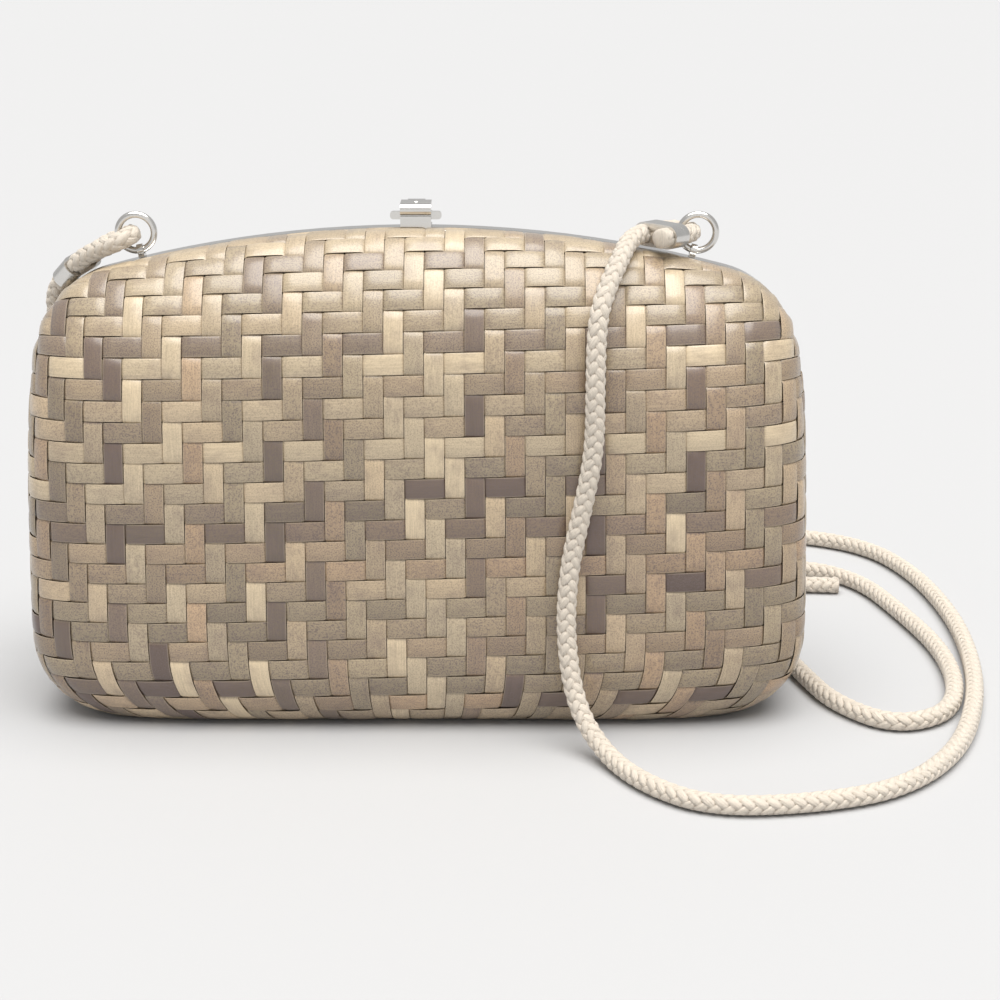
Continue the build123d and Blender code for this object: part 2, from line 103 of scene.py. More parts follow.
LEFT_EYE = [
    (-88.4, 13.6, 120.7), (-85.4, 11.2, 123.9), (-73.8, 3.9, 129.1), (-77.1, -2.4, 127.6),
    (-88.7, 4.9, 122.4), (-91.7, 7.2, 119.2),
]
RIGHT_EYE = [
    (63.0, 0.5, 129.6), (68.6, 7.7, 129.2), (74.4, 3.2, 128.9), (68.8, -4.0, 129.2),
]
SPLINE_STEPS = 16


def spline_points(name, route):
    """Points of one smooth NURBS line on a route, in metres."""
    curve = bpy.data.curves.new(name, "CURVE")
    curve.dimensions = "3D"
    curve.resolution_u = SPLINE_STEPS
    spline = curve.splines.new("NURBS")
    spline.points.add(len(route) - 1)
    for point, place in zip(spline.points, route):
        point.co = (place[0] * MM, place[1] * MM, place[2] * MM, 1)
    spline.order_u = 3
    spline.use_endpoint_u = True
    guide = bpy.data.objects.new(name, curve)
    scene.collection.objects.link(guide)
    bpy.context.view_layer.update()
    shape = guide.evaluated_get(bpy.context.evaluated_depsgraph_get())
    line = bpy.data.meshes.new_from_object(shape)
    points = np.array([v.co for v in line.vertices])
    bpy.data.meshes.remove(line)
    bpy.data.objects.remove(guide)
    bpy.data.curves.remove(curve)
    return points


strap_points = spline_points("strap_guide", STRAP_ROUTE)
tail_points = spline_points("tail_guide", TAIL_ROUTE)
print("strap points", len(strap_points), "tail points", len(tail_points))

# %% [markdown]
# ## One tuft of the plait
# The cord is a solid plait. Six columns of slanted tufts run along it, each leaning the other
# way from its neighbour, so any side shows a row of chevrons. One tuft is shaped here from a
# ball, squeezed to a grain of rice, and later laid along the cord again and again. A painted
# pattern would be quicker, but the cord's edge would stay smooth where the real one is bumpy.

# %% Tuft
TUFT_LENGTH = 2.15
TUFT_WIDTH = 1.2
TUFT_DEPTH = 0.85
TUFT_FULLNESS = 0.82
bpy.ops.mesh.primitive_uv_sphere_add(
    segments=8, ring_count=6, radius=1.0, rotation=(0, math.pi / 2, 0)
)
tuft = bpy.context.object
bpy.ops.object.transform_apply(rotation=True)
bpy.ops.object.mode_set(mode="EDIT")
bpy.ops.mesh.select_all(action="SELECT")
bpy.ops.transform.resize(value=(TUFT_LENGTH, TUFT_WIDTH, TUFT_DEPTH))
bpy.ops.object.mode_set(mode="OBJECT")
tuft_shape = np.array([v.co for v in tuft.data.vertices])
tuft_size = np.array((TUFT_LENGTH, TUFT_WIDTH, TUFT_DEPTH))
tuft_shape = np.sign(tuft_shape) * np.abs(tuft_shape / tuft_size) ** TUFT_FULLNESS * tuft_size
tuft_faces = [tuple(p.vertices) for p in tuft.data.polygons]
bpy.data.objects.remove(tuft)
print("tuft faces", len(tuft_faces))

# %% [markdown]
# ## Laying the plait along a line
# Each tuft is bent round the cord and along the line, so it follows every turn. An array on a
# curve could do it too, but it would stretch the tufts in tight bends. A plain core closes the
# middle. The mesh keeps where each point lies in its tuft, for the yarn's grain and for the
# painted shade deep in each tuft.

# %% Helpers for lines and meshes
def moving_frame(points):
    """Distances along a line and two side directions at each of its points."""
    steps = np.linalg.norm(np.diff(points, axis=0), axis=1)
    runs = np.concatenate([[0], np.cumsum(steps)])
    ways = np.gradient(points, runs, axis=0)
    ways /= np.linalg.norm(ways, axis=1)[:, None]
    side = np.cross(ways[0], (0.0, 0.0, 1.0) if abs(ways[0][2]) < 0.9 else (1.0, 0.0, 0.0))
    sides = []
    for way in ways:
        side = side - way * np.dot(side, way)
        side = side / np.linalg.norm(side)
        sides.append(side)
    sides = np.array(sides)
    return runs, sides, np.cross(ways, sides)


def add_mesh(name, points, faces):
    """A smooth shaded piece whose place is in its own points."""
    mesh = bpy.data.meshes.new(name)
    mesh.from_pydata([tuple(p) for p in points], [], faces)
    mesh.validate()
    mesh.polygons.foreach_set("use_smooth", [True] * len(mesh.polygons))
    piece = bpy.data.objects.new(name, mesh)
    scene.collection.objects.link(piece)
    return piece


def set_vectors(piece, name, values):
    """Keep one vector for each point, for a material to read."""
    layer = piece.data.attributes.new(name, "FLOAT_VECTOR", "POINT")
    layer.data.foreach_set("vector", np.asarray(values, np.float32).ravel())


print("helpers ready")

# %% Plait builder
PLAIT_PITCH = 3.1
COLUMNS = 6
LEAST_STEP = 1e-7
PLAIT_SLANT = math.radians(31)
TUFT_ROOT = 1.8
YARN_SHIFT = 5.0
CORE_RADIUS = 2.0
CORE_SIDES = 8
CORE_STEP = 1.6
CORE_SHADE = 0.80


def lay_plait(name, line):
    """A plaited cord of tufts along a line of points."""
    keep = np.concatenate([[True], np.linalg.norm(np.diff(line, axis=0), axis=1) > LEAST_STEP])
    line = line[keep]
    runs, sides, ups = moving_frame(line)
    length = runs[-1]

    def place(run, turn, radius):
        at = np.clip(run, 0, length)
        centre = np.stack([np.interp(at, runs, line[:, k]) for k in range(3)], 1)
        a = np.stack([np.interp(at, runs, sides[:, k]) for k in range(3)], 1)
        b = np.stack([np.interp(at, runs, ups[:, k]) for k in range(3)], 1)
        return centre + (a * np.cos(turn)[:, None] + b * np.sin(turn)[:, None]) * radius[:, None]

    points, faces, yarn = [], [], []
    count = max(int(round(length / (PLAIT_PITCH * MM))), 2)
    pitch = length / count
    total = 0
    for row in range(count):
        for column in range(COLUMNS):
            lean = 1 if column % 2 == 0 else -1
            start = (row + 0.25 + 0.5 * (column % 2)) * pitch
            a, b, c = tuft_shape[:, 0], tuft_shape[:, 1], tuft_shape[:, 2]
            along = a * math.cos(PLAIT_SLANT) - lean * b * math.sin(PLAIT_SLANT)
            around = lean * a * math.sin(PLAIT_SLANT) + b * math.cos(PLAIT_SLANT)
            turn = (column + 0.5) * 2 * math.pi / COLUMNS + around / TUFT_ROOT
            radius = (TUFT_ROOT + c) * MM
            points.append(place(start + along * MM, turn, radius))
            # Neighbouring tufts take different stretches of yarn.
            seed = (row * 7 + column * 3) % 11
            # How deep a point lies in its tuft; the cotton darkens the deep points as painted
            # shade.
            shade = radius / (TUFT_ROOT + TUFT_DEPTH) / MM
            yarn.append(np.stack([a, b + seed * YARN_SHIFT, shade], 1))
            faces += [tuple(total + k for k in face) for face in tuft_faces]
            total += len(tuft_shape)
    rings = max(int(length / (CORE_STEP * MM)), 4)
    turns = np.arange(CORE_SIDES) * 2 * math.pi / CORE_SIDES
    for row in range(rings + 1):
        run = np.full(CORE_SIDES, length * row / rings)
        points.append(place(run, turns, np.full(CORE_SIDES, CORE_RADIUS * MM)))
        yarn.append(np.stack([run / MM, turns * 2, np.full(CORE_SIDES, CORE_SHADE)], 1))
    for row in range(rings):
        first = total + row * CORE_SIDES
        for k in range(CORE_SIDES):
            a, b = first + k, first + (k + 1) % CORE_SIDES
            faces.append((a, b, b + CORE_SIDES, a + CORE_SIDES))
    faces.append(tuple(total + k for k in range(CORE_SIDES - 1, -1, -1)))
    faces.append(tuple(total + rings * CORE_SIDES + k for k in range(CORE_SIDES)))
    piece = add_mesh(name, np.concatenate(points), faces)
    set_vectors(piece, "yarn_place", np.concatenate(yarn))
    print(name, "length", round(length, 4), "faces", len(faces))
    return piece, length


print("tufts in each row", COLUMNS)

# %% Strap, tail and eyes
strap, strap_length = lay_plait("strap_cord_plait", strap_points)
tail, tail_length = lay_plait("strap_tail_plait", tail_points)
left_eye, _ = lay_plait("cord_eye_left", spline_points("left_eye_guide", LEFT_EYE))
right_eye, _ = lay_plait("cord_eye_right", spline_points("right_eye_guide", RIGHT_EYE))

# %% [markdown]
# ## The cut end of the cord
# Beside the strap, the right ferrule also holds the short cut end of the eye. It is a stub of
# the same plait, cut off square. The plait alone would look hollow there, so a ball pressed flat
# is joined to it as the face of the cut.

# %% Cut stub
STUB_PLACE = Vector((64.94, -8.92, 129.45)) * MM
STUB_WAY = Vector((-0.615, -0.788, 0.033))
STUB_ENDS = (-0.2, 3.0)
CUT_RADIUS = 2.5
CUT_FLATNESS = 0.3
CUT_REACH = 2.8
CUT_SHADE = 0.9


def select_only(piece):
    """Deselect all else, so that an operator acts on this piece alone."""
    bpy.ops.object.select_all(action="DESELECT")
    piece.select_set(True)
    bpy.context.view_layer.objects.active = piece


stub_runs = np.linspace(*STUB_ENDS, 9)[:, None] * MM
stub_line = np.array(STUB_PLACE) + stub_runs * np.array(STUB_WAY)
stub, _ = lay_plait("cord_cut_end", stub_line)
bpy.ops.mesh.primitive_uv_sphere_add(segments=24, ring_count=12, radius=CUT_RADIUS * MM)
stub_face = bpy.context.object
stub_face.scale = (1, 1, CUT_FLATNESS)
stub_face.rotation_euler = STUB_WAY.to_track_quat("Z", "Y").to_euler()
stub_face.location = STUB_PLACE + STUB_WAY * CUT_REACH * MM
bpy.ops.object.transform_apply(location=True, rotation=True, scale=True)
bpy.ops.object.shade_smooth()
cut_points = np.array([v.co for v in stub_face.data.vertices]) / MM
cut_shade = np.full(len(cut_points), CUT_SHADE)
cut_places = np.stack([cut_points[:, 2], cut_points[:, 0], cut_shade], 1)
set_vectors(stub_face, "yarn_place", cut_places)
select_only(stub)
stub_face.select_set(True)
bpy.ops.object.join()
print("cut end faces", len(stub.data.polygons))

# %% [markdown]
# ## The form of the mat
# The mat hangs between the frame and the floor. Its outline from above is nearly a rectangle
# with round ends, it is round along the bottom edge, and it domes over to the frame at the top.
# It could be sculpted from a box, but one formula gives each upright line, measured by its own
# length from mid height, so that strips keep their width as the wall curves.

# %% Sizes of the mat, in millimetres
BAG_HEIGHT = 130.8
HALF_WIDTH = 103.4
HALF_DEPTH = 29.5
CORNER = 23.0
TAPER = 0.033
TAPER_RUN = 64.3
TAPER_START = 30.0
MID_HEIGHT = 50.0
FLOOR_LIFT = 0.4
BASE_HIGH = 19.0
BASE_DEEP = 12.0
DOME = 42.0
SIDE_TOP = 94.6
ARCH_RADIUS = 320.0
SHOULDER_RADIUS = 24.5
END_TURN = math.radians(86.0)
HALF_SPAN = 100.0
STRIPS = 47
PLAN_POWER = 5.0
PLAN_STEPS = 4000
BASE_STEPS, WALL_STEPS, DOME_STEPS = 13, 12, 33
ARC_GAP = ARCH_RADIUS - SHOULDER_RADIUS
ARCH_TURN = math.asin((HALF_SPAN - SHOULDER_RADIUS * math.sin(END_TURN)) / ARC_GAP)
SHOULDER_X = ARC_GAP * math.sin(ARCH_TURN)
SHOULDER_Z = BAG_HEIGHT - ARCH_RADIUS + ARC_GAP * math.cos(ARCH_TURN)
ring_turn = math.pi * (1 - np.arange(PLAN_STEPS + 1) / PLAN_STEPS)
ring_x = np.sign(np.cos(ring_turn)) * np.abs(np.cos(ring_turn)) ** (2 / PLAN_POWER)
ring_y = np.abs(np.sin(ring_turn)) ** (2 / PLAN_POWER)
ring_step = np.hypot(np.diff(ring_x) * HALF_WIDTH, np.diff(ring_y) * HALF_DEPTH)
ring_run = np.concatenate([[0], np.cumsum(ring_step)])
print("half way round the mat", round(float(ring_run[-1]), 1), "mm")
ring_run = ring_run / ring_run[-1] * STRIPS


# %% Upright lines of the mat
def rim_height(x, inset):
    """Height of the frame's arch above a place across the bag."""
    across = abs(x)
    if across <= (ARCH_RADIUS - inset) * math.sin(ARCH_TURN):
        return BAG_HEIGHT - ARCH_RADIUS + math.sqrt((ARCH_RADIUS - inset) ** 2 - across**2)
    if across <= SHOULDER_X + (SHOULDER_RADIUS - inset) * math.sin(END_TURN):
        return SHOULDER_Z + math.sqrt((SHOULDER_RADIUS - inset) ** 2 - (across - SHOULDER_X) ** 2)
    return 0.0


def mat_line(u, wall=0.0, inset=1.1, side_top=SIDE_TOP, gaps=(2.4, 2.4)):
    """One upright line: distances from mid height and points, u in strips from the left.

    The gaps are how far this half and the other one stay from the mouth's middle."""
    side = min(max(u, 0.0), float(STRIPS))
    share = np.interp(side, ring_run, ring_x)
    across = np.interp(side, ring_run, ring_y)
    level = (HALF_WIDTH - wall - TAPER * TAPER_RUN) * share
    top = max(rim_height(level, inset), side_top)
    start = top - DOME
    low = wall + BASE_HIGH
    z = np.concatenate([
        low - BASE_HIGH * np.cos(np.linspace(0, math.pi / 2, BASE_STEPS)),
        np.linspace(low, start, WALL_STEPS)[1:],
        start + DOME * np.sin(np.linspace(0, math.pi / 2, DOME_STEPS))[1:],
    ])
    below = np.maximum(low - z, 0) / BASE_HIGH
    above = np.clip((z - start) / DOME, 0, 1)
    reach = HALF_DEPTH - wall - gaps[0] - BASE_DEEP * (1 - np.sqrt(np.maximum(1 - below**2, 0)))
    reach = reach * np.sqrt(np.maximum(1 - above**2, 0))
    width = HALF_WIDTH - wall - TAPER * np.clip(z - TAPER_START, 0, TAPER_RUN)
    drop = np.maximum(CORNER + wall - z, 0)
    width = width - CORNER + np.sqrt(np.maximum(CORNER**2 - drop**2, 0))
    y = -gaps[0] - reach * across + sum(gaps) * (max(-u, 0.0) + max(u - STRIPS, 0.0))
    points = np.stack([width * share, y, z + FLOOR_LIFT * (1 - z / top)], 1)
    runs = np.concatenate([[0], np.cumsum(np.linalg.norm(np.diff(points, axis=0), axis=1))])
    return runs - np.interp(MID_HEIGHT, z, runs), points


print("side line ends", np.round(mat_line(0.0)[1][-1], 1))

# %% Places and directions on the mat
FRONT_FORM = {"inset": -0.2, "gaps": (2.5, 2.4)}
BACK_FORM = {"inset": 1.1, "gaps": (2.4, 2.5)}
END_MARGIN = 0.5
ALONG_STEP = 0.4
ACROSS_STEP = 0.06
line_store = {}


def stored_line(u, form):
    """The upright line of one half of the mat, worked out once for each place."""
    key = (form["inset"], round(u, 4))
    if key not in line_store:
        line_store[key] = mat_line(u, **form)
    return line_store[key]


def on_line(line, t):
    """Points at distances along a line."""
    runs, points = line
    return np.stack([np.interp(t, runs, points[:, k]) for k in range(3)], -1)


def outward(u, t, form):
    """Unit direction out of the mat at a place on it."""
    line = stored_line(u, form)
    t = np.clip(t, line[0][0] + END_MARGIN, line[0][-1] - END_MARGIN)
    up = on_line(line, t + ALONG_STEP) - on_line(line, t - ALONG_STEP)
    right, left = stored_line(u + ACROSS_STEP, form), stored_line(u - ACROSS_STEP, form)
    way = np.cross(on_line(right, t) - on_line(left, t), up)
    return way / np.linalg.norm(way, axis=-1)[..., None]


print("mat height by length", round(float(np.ptp(stored_line(22.5, FRONT_FORM)[0])), 1))

# %% [markdown]
# ## Straw colours
# Each strip was split from a different stem, so colour belongs to a strip and drifts along it:
# pale straw, tan, a pinkish brown, a grey olive, and now and then a dark stained stretch. One
# noise over the whole mat would blur across strips, so each strip gets its own tones, stretch by
# stretch. The draws are seeded, so the mat is the same each time.

# %% Straw tones
draw = np.random.default_rng(41)
PALETTE = np.array([
    (0.770, 0.700, 0.585), (0.720, 0.640, 0.525), (0.690, 0.585, 0.470),
    (0.620, 0.530, 0.430), (0.610, 0.550, 0.450), (0.470, 0.405, 0.345),
])
PALETTE_SHARE = np.array([0.22, 0.17, 0.16, 0.18, 0.17, 0.10])
DARK_TONE = np.array((0.340, 0.275, 0.245))
CELLS = 2 * STRIPS + 2
FIRST_ROW, LAST_ROW = -14, 21
ROWS = LAST_ROW - FIRST_ROW
TWILL_REPEAT = 4
TWILL_STEP = 2
STRETCH_SHIFT = 16
STRETCHES = (CELLS + ROWS) // TWILL_REPEAT + 6
TONE_DRIFT = 0.13
TONE_LEAST, TONE_SPREAD = 0.87, 0.22
DARK_CHANCE = 0.022
DARK_LEAST, DARK_SPREAD = 0.45, 0.55
TOP_PALING_MOST = 0.7
TOP_PALING_FROM, TOP_PALING_ROWS = 5, 12


def stretch_number(cell, row):
    """Number of the stretch, two cells long, in which a strip lies on top."""
    return (cell + row + TWILL_STEP + STRETCH_SHIFT) // TWILL_REPEAT


def drifting_tones(strips):
    """A colour for each strip and stretch that drifts slowly along the strip."""
    first = draw.choice(len(PALETTE), strips, p=PALETTE_SHARE)
    second = draw.choice(len(PALETTE), strips, p=PALETTE_SHARE)
    steps = np.cumsum(draw.normal(0.0, TONE_DRIFT, (strips, STRETCHES, 1)), axis=1)
    mix = np.clip(0.5 * draw.random((strips, 1, 1)) + steps, 0, 1)
    tones = PALETTE[first][:, None] * (1 - mix) + PALETTE[second][:, None] * mix
    tones = tones * (TONE_LEAST + TONE_SPREAD * draw.random((strips, STRETCHES, 1)))
    starts = draw.random((strips, STRETCHES + 2, 1)) < DARK_CHANCE
    dark = starts[:, 2:] | starts[:, 1:-1] | starts[:, :-2]
    depth = DARK_LEAST + DARK_SPREAD * draw.random((strips, STRETCHES, 1))
    return np.where(dark, tones * (1 - depth) + DARK_TONE * depth, tones)


def paled_towards_top(tones, rows):
    """Paler straw towards the top, by each stretch's row: painted light of the lit, glossy dome."""
    share = TOP_PALING_MOST * np.clip((rows - TOP_PALING_FROM) / TOP_PALING_ROWS, 0, 1)[..., None]
    return tones * (1 - share) + PALETTE[0] * share


row_numbers = np.arange(FIRST_ROW, LAST_ROW)[:, None] + np.zeros((1, STRETCHES))
stretch_starts = TWILL_REPEAT * np.arange(STRETCHES)[None, :] - TWILL_STEP - STRETCH_SHIFT
upright_rows = stretch_starts - np.arange(CELLS)[:, None] + 1.5
# The top rows are paled as painted light, for the dome brightened by the lamp and the lacquer.
row_tones = paled_towards_top(drifting_tones(ROWS), row_numbers)
upright_tones = paled_towards_top(drifting_tones(CELLS), upright_rows)
print("rows", ROWS, "uprights", CELLS)

# %% [markdown]
# ## Weaving the mat
# In a two by two twill each level strip goes over two uprights and under two, one upright further
# along in each row, which gives the stair pattern. Each strip is a thin closed ribbon that rises
# over and dips under. A bump in the finish could draw this, but then gaps and edges would not be
# real. Front and back are separate pieces, because on the real bag the front follows the frame
# when it opens. The two narrow side strips belong to the back.

# %% How a strip rises and dips
STRIP_LIFT = 0.52
GRIP_RUN, GRIP_LEAST = 7.0, 0.1
TURN_RUN, TURN_LEAST = 9.0, 0.12
BEND_SHARE = 0.78
CELL_PLACES = (0.0, 0.13, 0.5, 0.87)


def near_edge(place, low, high):
    """How freely strips rise: flat where the frame grips them and where they turn under."""
    grip = np.clip((high - place) / GRIP_RUN, GRIP_LEAST, 1.0)
    return grip * np.clip((place - low) / TURN_RUN, TURN_LEAST, 1.0)


def level_on_top(cell, row):
    """Whether the level strip passes over the upright one in a cell."""
    return (cell + row + TWILL_STEP) % TWILL_REPEAT < TWILL_REPEAT // 2


def bend_heights(tops):
    """Height at four places in each cell, low where a strip goes from over to under."""
    lift = np.where(tops, 1.0, -1.0)
    before = np.concatenate([lift[:1], lift[:-1]])
    after = np.concatenate([lift[1:], lift[-1:]])
    edge = (lift + before) / 2
    near = np.where(edge == 0, lift * BEND_SHARE, lift)
    far = np.where((lift + after) == 0, lift * BEND_SHARE, lift)
    return np.stack([edge, near, lift, far], 1).ravel() * STRIP_LIFT


print("strip rise", STRIP_LIFT, "mm")

# %% Ribbons
SECTION = np.array([
    (-1.0, -0.13), (-0.84, 0.0), (0.0, 0.06), (0.84, 0.0),
    (1.0, -0.13), (0.97, -0.28), (-0.97, -0.28),
])
SIDES = len(SECTION)
GRAIN_HALF = 2.6
GRAIN_SEED = 13.7


class Ribbons:
    """Collects ribbon points, faces, tones and the place along and across each strip."""

    def __init__(self):
        self.points, self.faces, self.tones, self.places = [], [], [], []
        self.total = 0

    def add(self, rings, tones, along, seed):
        """Join one strip's cross sections to a closed ribbon."""
        count = len(rings)
        if count < 2:
            return
        for ring, tone, run in zip(rings, tones, along):
            self.points.append(ring)
            self.tones.append(np.repeat(tone[None], SIDES, axis=0))
            across = SECTION[:, 0] * GRAIN_HALF
            place = [np.full(SIDES, run), across, np.full(SIDES, seed * GRAIN_SEED)]
            self.places.append(np.stack(place, 1))
        for k in range(count - 1):
            base = self.total + k * SIDES
            for m in range(SIDES):
                a, b = base + m, base + (m + 1) % SIDES
                self.faces.append((a, a + SIDES, b + SIDES, b))
        self.faces.append(tuple(self.total + m for m in range(SIDES)))
        last = self.total + (count - 1) * SIDES
        self.faces.append(tuple(last + m for m in range(SIDES - 1, -1, -1)))
        self.total += count * SIDES


print("points round a strip", SIDES)

# %% Level and upright strips
ROW_PITCH = 5.42
ROW_SHIFT = -1.2
STRIP_HALF = 0.478
STRIP_PITCH = 5.5
LOW_MARGIN, HIGH_MARGIN = 0.1, 0.05
LEAST_WIDTH = 0.6
UPRIGHT_SEED = 40


def level_strips(work, first_cell, cells, u_start, tilt, form):
    """Add the level strips of one half, broken off where the mat is too low for them."""
    u_list = [u_start + c + f for c in range(cells) for f in CELL_PLACES] + [u_start + cells]
    sample_cells = np.minimum(np.arange(len(u_list)) // len(CELL_PLACES), cells - 1)
    lines = [stored_line(u, form) for u in u_list]
    middle_x = [on_line(line, 0.0)[0] for line in lines]
    for row in range(FIRST_ROW, LAST_ROW):
        tops = np.array([level_on_top(first_cell + c, row) for c in range(cells)])
        heights = np.append(bend_heights(tops), np.where(tops[-1], STRIP_LIFT, -STRIP_LIFT))
        rings, tones, along = [], [], []
        for k, u in enumerate(u_list):
            runs = lines[k][0]
            centre = ROW_PITCH * (row + 0.5) + ROW_SHIFT + tilt * middle_x[k]
            spots = centre + SECTION[:, 0] * STRIP_HALF * ROW_PITCH
            spots = np.clip(spots, runs[0] + LOW_MARGIN, runs[-1] - HIGH_MARGIN)
            if spots.max() - spots.min() < LEAST_WIDTH:
                work.add(rings, tones, along, row)
                rings, tones, along = [], [], []
                continue
            ease = near_edge(spots.mean(), runs[0], runs[-1])
            lift = heights[k] * ease + STRIP_LIFT * ease + SECTION[:, 1]
            rings.append(on_line(lines[k], spots) + outward(u, spots.mean(), form) * lift[:, None])
            stretch = stretch_number(first_cell + sample_cells[k], row)
            tones.append(row_tones[row - FIRST_ROW, stretch])
            along.append(u * STRIP_PITCH)
        work.add(rings, tones, along, row)


def upright_strip(work, first_cell, cell, u, tilt, form):
    """Add one upright strip, from the turn at the bottom to the frame."""
    sides = [stored_line(u + s * STRIP_HALF, form) for s in SECTION[:, 0]]
    runs = stored_line(u, form)[0]
    low, high = runs[0] + LOW_MARGIN, runs[-1] - HIGH_MARGIN
    shift = ROW_SHIFT + tilt * on_line(stored_line(u, form), 0.0)[0]
    rows = np.arange(FIRST_ROW, LAST_ROW)
    tops = np.array([not level_on_top(first_cell + cell, row) for row in rows])
    heights = bend_heights(tops)
    spots = np.array([ROW_PITCH * (row + f) + shift for row in rows for f in CELL_PLACES])
    inside = (spots > low) & (spots < high)
    t = np.concatenate([[low], spots[inside], [high]])
    lift_at = np.interp(t, spots, heights)
    out = outward(u, t, form)
    rows_at = np.clip(np.floor((t - shift) / ROW_PITCH).astype(int), FIRST_ROW, LAST_ROW - 1)
    rings = []
    for k, place in enumerate(t):
        lift = (lift_at[k] + STRIP_LIFT) * near_edge(place, low, high) + SECTION[:, 1]
        ring = []
        for side in sides:
            ends = side[0][0] + LOW_MARGIN, side[0][-1] - HIGH_MARGIN
            spot = ends[1] if k == len(t) - 1 else np.clip(place, *ends)
            ring.append(on_line(side, spot))
        rings.append(np.array(ring) + out[k] * lift[:, None])
    stretches = stretch_number(first_cell + cell, rows_at)
    work.add(rings, upright_tones[(first_cell + cell) % CELLS][stretches], t, UPRIGHT_SEED + cell)


print("row pitch", ROW_PITCH, "mm")

# %% Front and back of the mat
ROW_TILT = 0.0227
SMOOTH_ANGLE = math.radians(40)


def set_tones(piece, colours):
    """Keep a colour for each point of a straw piece."""
    layer = piece.data.attributes.new("straw_tone", "FLOAT_COLOR", "POINT")
    opaque = np.append(colours, np.ones((len(colours), 1)), axis=1)
    layer.data.foreach_set("color", opaque.astype(np.float32).ravel())


def weave_half(name, first_cell, cells, u_start, tilt, form):
    """Weave one half of the mat in the front's place, as one mesh."""
    work = Ribbons()
    level_strips(work, first_cell, cells, u_start, tilt, form)
    for cell in range(cells):
        upright_strip(work, first_cell, cell, u_start + cell + 0.5, tilt, form)
    piece = add_mesh(name, np.concatenate(work.points) * MM, work.faces)
    set_vectors(piece, "strip_place", np.concatenate(work.places))
    values = np.concatenate(work.tones)
    # The tones are written as they look on screen, and the material needs linear light.
    values = np.where(values <= 0.04045, values / 12.92, ((values + 0.055) / 1.055) ** 2.4)
    set_tones(piece, values)
    print(name, "faces", len(work.faces))
    return piece


def finish_mesh(piece):
    """Turn all faces outwards and keep the strips' edges crisp."""
    select_only(piece)
    bpy.ops.object.mode_set(mode="EDIT")
    bpy.ops.mesh.select_all(action="SELECT")
    bpy.ops.mesh.normals_make_consistent(inside=False)
    bpy.ops.object.mode_set(mode="OBJECT")
    bpy.ops.object.shade_smooth_by_angle(angle=SMOOTH_ANGLE)


straw_front = weave_half("straw_front", 0, STRIPS, 0.0, ROW_TILT, FRONT_FORM)
straw_back = weave_half("straw_back", STRIPS, STRIPS + 2, -1.0, -ROW_TILT, BACK_FORM)
select_only(straw_back)
straw_back.rotation_euler = (0, 0, math.pi)
bpy.ops.object.transform_apply(rotation=True)
for piece in (straw_front, straw_back):
    finish_mesh(piece)

# %% [markdown]
# ## The bottom
# Under the bag the mat turns in and is closed by a flat panel, seen only from below. Weaving it
# would be wasted work, so a circle is pulled to the mat's lower edge and extruded to a thin plate.

# %% Bottom panel
BASE_POINTS = 61
BASE_SHRINK = (0.995, 0.99)
BASE_LIFT = 0.5
BASE_THICK = 1.0
BASE_TONE = (0.36, 0.27, 0.17)
BELOW_MAT = -1000.0
base_ring = []
for u in np.linspace(0, STRIPS, BASE_POINTS):
    x, y, _ = on_line(stored_line(u, FRONT_FORM), BELOW_MAT)
    base_ring.append((x * BASE_SHRINK[0], y * BASE_SHRINK[1]))
base_ring += [(-x, -y) for x, y in base_ring]
bpy.ops.object.select_all(action="DESELECT")
bpy.ops.mesh.primitive_circle_add(vertices=len(base_ring), radius=0.1, fill_type="NGON")
base = bpy.context.object
base.name = "straw_base"
for vertex, (x, y) in zip(base.data.vertices, base_ring):
    vertex.co = (x * MM, y * MM, BASE_LIFT * MM)
bpy.ops.object.mode_set(mode="EDIT")
bpy.ops.mesh.select_all(action="SELECT")
bpy.ops.mesh.extrude_region_move(TRANSFORM_OT_translate={"value": (0, 0, BASE_THICK * MM)})
bpy.ops.mesh.select_all(action="SELECT")
bpy.ops.mesh.normals_make_consistent(inside=False)
bpy.ops.object.mode_set(mode="OBJECT")
base_points = np.array([v.co for v in base.data.vertices]) / MM
set_vectors(base, "strip_place", base_points)
set_tones(base, np.tile(BASE_TONE, (len(base_points), 1)))
print("bottom points", len(base_points))

# %% [markdown]
# ## The lining
# A plain cloth wall hangs inside the mat. It is one sheet for each half, thickened a little, and
# its upper edge is held under the frame. The mat's own lines, set inwards, give its shape, so it
# can't cut through the straw.

# %% Lining
LINING_WALL = 3.4
LINING_INSET = 7.2
LINING_SIDE = 82.0
LINING_COLUMNS = 61
LINING_ROWS = 40
FLOOR_SHARES = (0.0, 0.33, 0.66, 0.9)
CLOTH_THICKNESS = 0.7


def lining_half(name, extra):
    """A cloth half in the front's place, from the mouth to the bottom and on to its middle."""
    points, faces = [], []
    for u in np.linspace(-extra, STRIPS + extra, LINING_COLUMNS):
        line = mat_line(u, LINING_WALL, LINING_INSET, LINING_SIDE)
        t = np.linspace(line[0][0], line[0][-1], LINING_ROWS - len(FLOOR_SHARES))
        wall = on_line(line, t)
        points += [wall[0] * (1, share, 1) for share in FLOOR_SHARES] + list(wall)
    for i in range(LINING_COLUMNS - 1):
        for j in range(LINING_ROWS - 1):
            a = i * LINING_ROWS + j
            faces.append((a, a + LINING_ROWS, a + LINING_ROWS + 1, a + 1))
    return add_mesh(name, np.array(points) * MM, faces)


